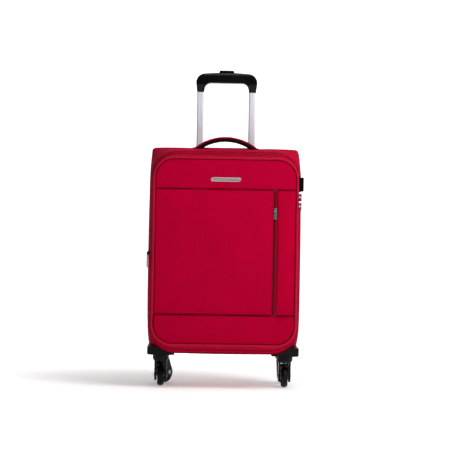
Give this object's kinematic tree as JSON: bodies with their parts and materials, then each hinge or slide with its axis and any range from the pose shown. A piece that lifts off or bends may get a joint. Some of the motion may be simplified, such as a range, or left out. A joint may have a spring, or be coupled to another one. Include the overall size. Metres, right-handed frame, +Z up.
{
  "type": "softside spinner suitcase",
  "caption": "Upright softside cabin suitcase: padded red fabric body and zipped lid, expander zip, telescopic trolley handle, carry handle, side lock and swivelling casters.",
  "frame": {"origin": "on the floor, under the middle of the case in plan", "axes": "+Z up, the lid faces -Y, +X to the right as seen from the front"},
  "size_m": [0.3573, 0.227, 0.7375],
  "materials": {
    "red_fabric": "woven polyester, matt",
    "red_piping": "covered cord",
    "zip_tape": "woven zip tape with coil teeth",
    "lining_cloth": "thin woven lining",
    "webbing": "woven webbing",
    "board": "stiff sheet",
    "black_plastic": "satin moulded plastic",
    "black_gloss": "polished moulded plastic",
    "black_rubber": "matt moulded rubber",
    "tyre": "smooth tread",
    "aluminium": "anodised, satin",
    "steel": "plated",
    "zinc": "polished zinc alloy"
  },
  "bodies": {
    "shell": {"body_wall": "red_fabric", "rear_skids": "black_plastic", "rear_piping": "red_piping", "rear_panel": "red_fabric", "back_board": "board", "body_lining": "lining_cloth", "expander_tape": "zip_tape", "expander_fold": "red_fabric", "trolley_bezel": "black_plastic", "outer_tubes": "aluminium", "tube_bracket": "black_plastic", "handle_cover": "red_fabric", "handle_core": "black_rubber", "corner_guards": "black_plastic", "kingpins": "steel", "packing_straps": "webbing"},
    "zip_frame": {"frame_band": "red_fabric", "frame_tapes": "zip_tape", "lock_case": "black_gloss"},
    "lid": {"lid_wall": "red_fabric", "lid_piping": "red_piping", "lid_board": "board", "lid_tapes": "zip_tape", "yoke_panel": "red_fabric", "lower_panel": "red_fabric", "strip_panel": "red_fabric", "pocket_panel": "red_fabric", "nameplate": "zinc"},
    "middle_stage": {"middle_tubes": "aluminium", "tube_collars": "black_plastic"},
    "inner_stage": {"inner_tubes": "aluminium", "grip_body": "black_plastic", "grip_cap": "black_gloss"},
    "button": {"grip_button": "black_gloss", "release_rods": "steel"},
    "stage_pins": {"lock_pins": "steel"},
    "knob": {"lock_knob": "black_gloss"},
    "front_left_swivel": {"front_left_fork": "black_plastic", "front_left_axle": "steel"},
    "front_left_roller": {"front_left_wheel": "tyre"},
    "front_right_swivel": {"front_right_fork": "black_plastic", "front_right_axle": "steel"},
    "front_right_roller": {"front_right_wheel": "tyre"},
    "rear_left_swivel": {"rear_left_fork": "black_plastic", "rear_left_axle": "steel"},
    "rear_left_roller": {"rear_left_wheel": "tyre"},
    "rear_right_swivel": {"rear_right_fork": "black_plastic", "rear_right_axle": "steel"},
    "rear_right_roller": {"rear_right_wheel": "tyre"},
    "lower_runner": {"lower_slider": "zinc"},
    "lower_tab": {"lower_pull": "zinc"},
    "upper_runner": {"upper_slider": "zinc"},
    "upper_tab": {"upper_pull": "zinc"},
    "expander_runner": {"expander_slider": "zinc"},
    "expander_tab": {"expander_pull": "zinc"},
    "pocket_runner": {"pocket_slider": "zinc"},
    "pocket_tab": {"pocket_pull": "zinc"},
    "dial_1": {"lock_dial_1": "black_plastic"},
    "dial_2": {"lock_dial_2": "black_plastic"},
    "dial_3": {"lock_dial_3": "black_plastic"}
  },
  "joints": [
    {"name": "expander", "type": "slide", "parent": "shell", "child": "zip_frame", "axis": [0, -1, 0], "range_m": [0, 0.04], "deforming": ["expander_fold"]},
    {"name": "lid_hinge", "type": "hinge", "parent": "zip_frame", "child": "lid", "pos_m": [-0.1725, -0.0755, 0.3], "axis": [0, 0, -1], "range_deg": [0, 165]},
    {"name": "middle_tubes_slide", "type": "slide", "parent": "shell", "child": "middle_stage", "axis": [0, 0, 1], "range_m": [0, 0.235]},
    {"name": "inner_tubes_slide", "type": "slide", "parent": "middle_stage", "child": "inner_stage", "axis": [0, 0, 1], "range_m": [-0.168, 0.1]},
    {"name": "button_press", "type": "slide", "parent": "inner_stage", "child": "button", "axis": [0, 0, -1], "range_m": [0, 0.004], "stiffness_N_per_m": 800, "springref_m": -0.002},
    {"name": "pins_draw_in", "type": "slide", "parent": "inner_stage", "child": "stage_pins", "axis": [0, -1, 0], "range_m": [0, 0.002]},
    {"name": "front_left_swivel_turn", "type": "hinge", "parent": "shell", "child": "front_left_swivel", "pos_m": [-0.143, -0.0225, 0.06], "axis": [0, 0, 1], "continuous": true},
    {"name": "front_left_wheel_roll", "type": "hinge", "parent": "front_left_swivel", "child": "front_left_roller", "pos_m": [-0.143, -0.0095, 0.025], "axis": [1, 0, 0], "continuous": true},
    {"name": "front_right_swivel_turn", "type": "hinge", "parent": "shell", "child": "front_right_swivel", "pos_m": [0.143, -0.0225, 0.06], "axis": [0, 0, 1], "continuous": true},
    {"name": "front_right_wheel_roll", "type": "hinge", "parent": "front_right_swivel", "child": "front_right_roller", "pos_m": [0.143, -0.0095, 0.025], "axis": [1, 0, 0], "continuous": true},
    {"name": "rear_left_swivel_turn", "type": "hinge", "parent": "shell", "child": "rear_left_swivel", "pos_m": [-0.143, 0.0725, 0.06], "axis": [0, 0, 1], "continuous": true},
    {"name": "rear_left_wheel_roll", "type": "hinge", "parent": "rear_left_swivel", "child": "rear_left_roller", "pos_m": [-0.13554, 0.08315, 0.025], "axis": [0.8192, -0.5736, 0], "continuous": true},
    {"name": "rear_right_swivel_turn", "type": "hinge", "parent": "shell", "child": "rear_right_swivel", "pos_m": [0.143, 0.0725, 0.06], "axis": [0, 0, 1], "continuous": true},
    {"name": "rear_right_wheel_roll", "type": "hinge", "parent": "rear_right_swivel", "child": "rear_right_roller", "pos_m": [0.1457, 0.08522, 0.025], "axis": [0.9781, -0.2079, 0], "continuous": true},
    {"name": "lower_slider_run", "type": "slide", "parent": "zip_frame", "child": "lower_runner", "axis": [0, 0, -1], "range_m": [0, 0.26]},
    {"name": "lower_pull_swing", "type": "hinge", "parent": "lower_runner", "child": "lower_tab", "pos_m": [0.17211, -0.0755, 0.42325], "axis": [0, -1, 0], "range_deg": [0, 80]},
    {"name": "upper_slider_run", "type": "slide", "parent": "zip_frame", "child": "upper_runner", "axis": [0, 0, 1], "range_m": [0, 0.018]},
    {"name": "upper_pull_swing", "type": "hinge", "parent": "upper_runner", "child": "upper_tab", "pos_m": [0.17211, -0.0755, 0.44425], "axis": [0, -1, 0], "range_deg": [0, 80]},
    {"name": "expander_slider_run", "type": "slide", "parent": "shell", "child": "expander_runner", "axis": [0, 0, 1], "range_m": [-0.15, 0.15]},
    {"name": "expander_pull_swing", "type": "hinge", "parent": "expander_runner", "child": "expander_tab", "pos_m": [-0.177, -0.0575, 0.30675], "axis": [0, -1, 0], "range_deg": [-80, 0]},
    {"name": "pocket_slider_run", "type": "slide", "parent": "lid", "child": "pocket_runner", "axis": [0, 0, -1], "range_m": [-0.03, 0.225]},
    {"name": "pocket_pull_swing", "type": "hinge", "parent": "pocket_runner", "child": "pocket_tab", "pos_m": [0.11315, -0.1095, 0.40725], "axis": [-1, 0, 0], "range_deg": [0, 80]},
    {"name": "dial_1_turn", "type": "hinge", "parent": "zip_frame", "child": "dial_1", "pos_m": [0.1758, -0.0575, 0.4605], "axis": [0, 0, 1], "continuous": true},
    {"name": "dial_2_turn", "type": "hinge", "parent": "zip_frame", "child": "dial_2", "pos_m": [0.1758, -0.0575, 0.4667], "axis": [0, 0, 1], "continuous": true},
    {"name": "dial_3_turn", "type": "hinge", "parent": "zip_frame", "child": "dial_3", "pos_m": [0.1758, -0.0575, 0.4729], "axis": [0, 0, 1], "continuous": true},
    {"name": "knob_slide", "type": "slide", "parent": "zip_frame", "child": "knob", "axis": [0, 0, -1], "range_m": [0, 0.0012], "stiffness_N_per_m": 300, "springref_m": -0.001}
  ],
  "couplings": [
    {"joint": "pins_draw_in", "follows": "button_press", "ratio": 0.5}
  ]
}
